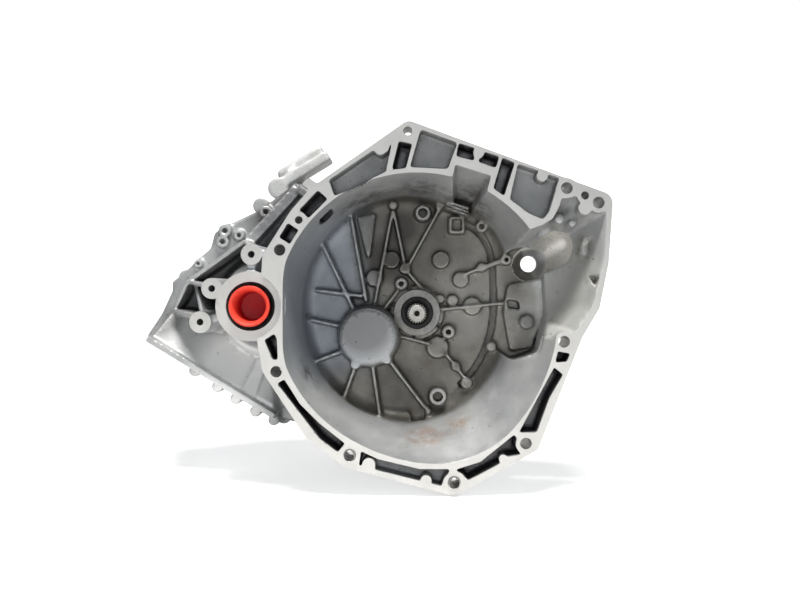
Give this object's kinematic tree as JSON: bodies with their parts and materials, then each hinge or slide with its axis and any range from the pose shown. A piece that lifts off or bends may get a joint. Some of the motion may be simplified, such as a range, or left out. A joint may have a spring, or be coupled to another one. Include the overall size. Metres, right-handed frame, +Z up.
{
  "type": "manual transmission",
  "caption": "Front-drive manual transaxle: open bell clutch housing, ribbed gear casing, splined input shaft, meshed gears, differential outlets and a leaning shift lever.",
  "frame": {"origin": "on the input shaft axis in the plane of the engine mating face, at the flat end of the input shaft", "axes": "-Y out of the engine mating face towards the engine, +Y along the shafts to the rear cover, +Z up, +X away from the differential"},
  "size_m": [0.5695, 0.3825, 0.4282],
  "materials": {
    "cast_housing": "as-cast skin with milled faces",
    "fasteners": "zinc plated, dulled",
    "ground_steel": "ground, oiled",
    "bearing_steel": "polished rings",
    "gear_steel": "machined and hardened",
    "cast_case": "cast, turned seats",
    "forged_steel": "pressed and hardened",
    "fork_brass": "cast bronze",
    "seal_rubber": "moulded, matte",
    "plug_plastic": "moulded, satin",
    "lever_zinc": "pale zinc-rich coat"
  },
  "bodies": {
    "casing": {"clutch_housing": "cast_housing", "gear_casing": "cast_housing", "rear_cover": "cast_housing", "selector_cover": "cast_housing", "casing_bolt_1": "fasteners", "casing_bolt_2": "fasteners", "casing_bolt_3": "fasteners", "casing_bolt_4": "fasteners", "casing_bolt_5": "fasteners", "casing_bolt_6": "fasteners", "casing_bolt_7": "fasteners", "casing_bolt_8": "fasteners", "casing_bolt_9": "fasteners", "cover_bolt_1": "fasteners", "cover_bolt_2": "fasteners", "cover_bolt_3": "fasteners", "cover_bolt_4": "fasteners", "drain_plug": "fasteners", "dowel_sleeve_1": "ground_steel", "dowel_sleeve_2": "ground_steel", "fork_rail": "ground_steel", "reverse_idler_shaft": "ground_steel", "input_bearing_front": "bearing_steel", "input_bearing_rear": "bearing_steel", "output_bearing_front": "bearing_steel", "output_bearing_rear": "bearing_steel", "differential_bearing_engine_side": "bearing_steel", "differential_bearing_gearbox_side": "bearing_steel", "input_seal": "seal_rubber", "differential_seal_engine_side": "seal_rubber", "differential_seal_gearbox_side": "seal_rubber", "selector_seal": "seal_rubber", "breather": "seal_rubber", "transport_plug_engine_side": "plug_plastic", "transport_plug_gearbox_side": "plug_plastic"},
    "input_shaft": {"input_shaft": "ground_steel"},
    "output_shaft": {"output_shaft": "ground_steel"},
    "first_gear": {"first_gear": "gear_steel"},
    "second_gear": {"second_gear": "gear_steel"},
    "third_gear": {"third_gear": "gear_steel"},
    "fourth_gear": {"fourth_gear": "gear_steel"},
    "fifth_gear": {"fifth_gear": "gear_steel"},
    "reverse_gear": {"reverse_gear": "gear_steel"},
    "reverse_idler": {"reverse_idler_gear": "gear_steel"},
    "differential": {"differential_case": "cast_case", "ring_gear": "gear_steel", "differential_pin": "ground_steel"},
    "side_gear_engine_side": {"side_gear_engine_side": "gear_steel"},
    "side_gear_gearbox_side": {"side_gear_gearbox_side": "gear_steel"},
    "planet_gear_1": {"planet_gear_1": "gear_steel"},
    "planet_gear_2": {"planet_gear_2": "gear_steel"},
    "sleeve_1_2": {"synchro_sleeve_1_2": "gear_steel"},
    "sleeve_3_4": {"synchro_sleeve_3_4": "gear_steel"},
    "sleeve_5_reverse": {"synchro_sleeve_5_reverse": "gear_steel"},
    "fork_1_2": {"shift_fork_1_2": "fork_brass"},
    "fork_3_4": {"shift_fork_3_4": "fork_brass"},
    "fork_5_reverse": {"shift_fork_5_reverse": "fork_brass"},
    "interlock": {"interlock_plate": "forged_steel"},
    "selector": {"selector_shaft": "ground_steel", "shift_lever": "lever_zinc"}
  },
  "joints": [
    {"name": "input_spin", "type": "hinge", "parent": "casing", "child": "input_shaft", "pos_m": [0, 0, 0], "axis": [0, 1, 0], "continuous": true},
    {"name": "first_gear_spin", "type": "hinge", "parent": "casing", "child": "first_gear", "pos_m": [-0.056, 0, -0.026], "axis": [0, 1, 0], "continuous": true},
    {"name": "second_gear_spin", "type": "hinge", "parent": "casing", "child": "second_gear", "pos_m": [-0.056, 0, -0.026], "axis": [0, 1, 0], "continuous": true},
    {"name": "third_gear_spin", "type": "hinge", "parent": "casing", "child": "third_gear", "pos_m": [-0.056, 0, -0.026], "axis": [0, 1, 0], "continuous": true},
    {"name": "fourth_gear_spin", "type": "hinge", "parent": "casing", "child": "fourth_gear", "pos_m": [-0.056, 0, -0.026], "axis": [0, 1, 0], "continuous": true},
    {"name": "fifth_gear_spin", "type": "hinge", "parent": "casing", "child": "fifth_gear", "pos_m": [-0.056, 0, -0.026], "axis": [0, 1, 0], "continuous": true},
    {"name": "reverse_gear_spin", "type": "hinge", "parent": "casing", "child": "reverse_gear", "pos_m": [-0.056, 0, -0.026], "axis": [0, 1, 0], "continuous": true},
    {"name": "reverse_idler_spin", "type": "hinge", "parent": "casing", "child": "reverse_idler", "pos_m": [0.00292, 0, -0.04434], "axis": [0, 1, 0], "continuous": true},
    {"name": "differential_spin", "type": "hinge", "parent": "casing", "child": "differential", "pos_m": [-0.186, 0.168, 0.008], "axis": [0, 1, 0], "continuous": true},
    {"name": "output_spin", "type": "hinge", "parent": "casing", "child": "output_shaft", "pos_m": [-0.056, 0, -0.026], "axis": [0, 1, 0], "continuous": true},
    {"name": "side_gear_engine_side_spin", "type": "hinge", "parent": "differential", "child": "side_gear_engine_side", "pos_m": [-0.186, 0.168, 0.008], "axis": [0, 1, 0], "continuous": true},
    {"name": "side_gear_gearbox_side_spin", "type": "hinge", "parent": "differential", "child": "side_gear_gearbox_side", "pos_m": [-0.186, 0.168, 0.008], "axis": [0, 1, 0], "continuous": true},
    {"name": "planet_gear_1_spin", "type": "hinge", "parent": "differential", "child": "planet_gear_1", "pos_m": [-0.186, 0.168, 0.008], "axis": [1, 0, 0], "continuous": true},
    {"name": "planet_gear_2_spin", "type": "hinge", "parent": "differential", "child": "planet_gear_2", "pos_m": [-0.186, 0.168, 0.008], "axis": [1, 0, 0], "continuous": true},
    {"name": "fork_1_2_slide", "type": "slide", "parent": "casing", "child": "fork_1_2", "axis": [0, 1, 0], "range_m": [-0.006, 0.006]},
    {"name": "fork_3_4_slide", "type": "slide", "parent": "casing", "child": "fork_3_4", "axis": [0, 1, 0], "range_m": [-0.0061, 0.0061]},
    {"name": "fork_5_reverse_slide", "type": "slide", "parent": "casing", "child": "fork_5_reverse", "axis": [0, 1, 0], "range_m": [-0.006, 0.006]},
    {"name": "sleeve_1_2_slide", "type": "slide", "parent": "output_shaft", "child": "sleeve_1_2", "axis": [0, 1, 0], "range_m": [-0.006, 0.006]},
    {"name": "sleeve_3_4_slide", "type": "slide", "parent": "output_shaft", "child": "sleeve_3_4", "axis": [0, 1, 0], "range_m": [-0.0061, 0.0061]},
    {"name": "sleeve_5_reverse_slide", "type": "slide", "parent": "output_shaft", "child": "sleeve_5_reverse", "axis": [0, 1, 0], "range_m": [-0.006, 0.006]},
    {"name": "select_slide", "type": "slide", "parent": "casing", "child": "interlock", "axis": [-0.5201, 0, 0.8541], "range_m": [-0.006, 0.006]},
    {"name": "shift_turn", "type": "hinge", "parent": "interlock", "child": "selector", "pos_m": [-0.1675, 0.245, 0.1749], "axis": [-0.5201, 0, 0.8541], "range_deg": [-12, 12]}
  ],
  "couplings": [
    {"joint": "first_gear_spin", "follows": "input_spin", "ratio": -0.28571},
    {"joint": "second_gear_spin", "follows": "input_spin", "ratio": -0.5},
    {"joint": "third_gear_spin", "follows": "input_spin", "ratio": -0.8},
    {"joint": "fourth_gear_spin", "follows": "input_spin", "ratio": -1},
    {"joint": "fifth_gear_spin", "follows": "input_spin", "ratio": -1.4},
    {"joint": "reverse_gear_spin", "follows": "input_spin", "ratio": 0.52381},
    {"joint": "reverse_idler_spin", "follows": "input_spin", "ratio": -0.73333},
    {"joint": "output_spin", "follows": "differential_spin", "ratio": -3.0556},
    {"joint": "side_gear_gearbox_side_spin", "follows": "side_gear_engine_side_spin", "ratio": -1},
    {"joint": "planet_gear_1_spin", "follows": "side_gear_engine_side_spin", "ratio": 1.4},
    {"joint": "planet_gear_2_spin", "follows": "side_gear_engine_side_spin", "ratio": -1.4},
    {"joint": "sleeve_1_2_slide", "follows": "fork_1_2_slide", "ratio": 1},
    {"joint": "sleeve_5_reverse_slide", "follows": "fork_5_reverse_slide", "ratio": 1},
    {"joint": "fork_3_4_slide", "follows": "shift_turn", "m_per_rad": 0.02865},
    {"joint": "sleeve_3_4_slide", "follows": "shift_turn", "m_per_rad": 0.02865}
  ]
}
